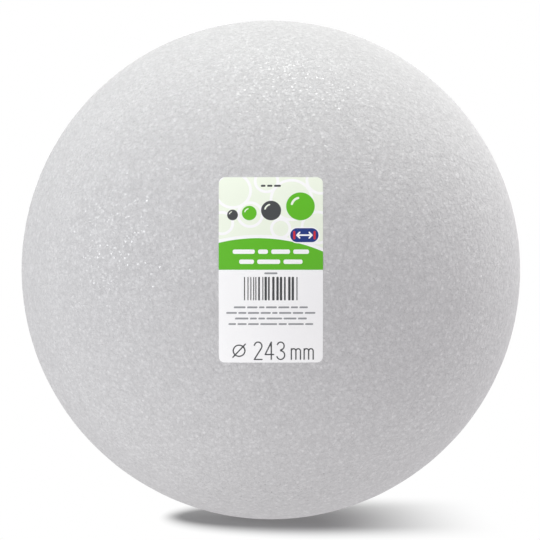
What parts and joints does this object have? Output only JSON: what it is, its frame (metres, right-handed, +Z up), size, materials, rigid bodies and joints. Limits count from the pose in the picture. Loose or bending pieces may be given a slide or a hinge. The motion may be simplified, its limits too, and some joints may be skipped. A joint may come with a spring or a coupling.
{
  "type": "polystyrene ball",
  "caption": "Solid round ball of white expanded foam for crafts, with a small rounded paper label stuck on its front.",
  "frame": {"origin": "centre of the ball", "axes": "+Z up, the label stands upright along Z and faces -Y, +X to the right of someone who faces the label"},
  "size_m": [0.243, 0.2434, 0.243],
  "materials": {
    "foam": "fine-celled white expanded foam, matte, with tiny glints from the cell walls",
    "label_paper": "smooth printed label paper in white, pale green and green"
  },
  "bodies": {
    "root": {"foam_ball": "foam", "label": "label_paper"}
  },
  "joints": []
}
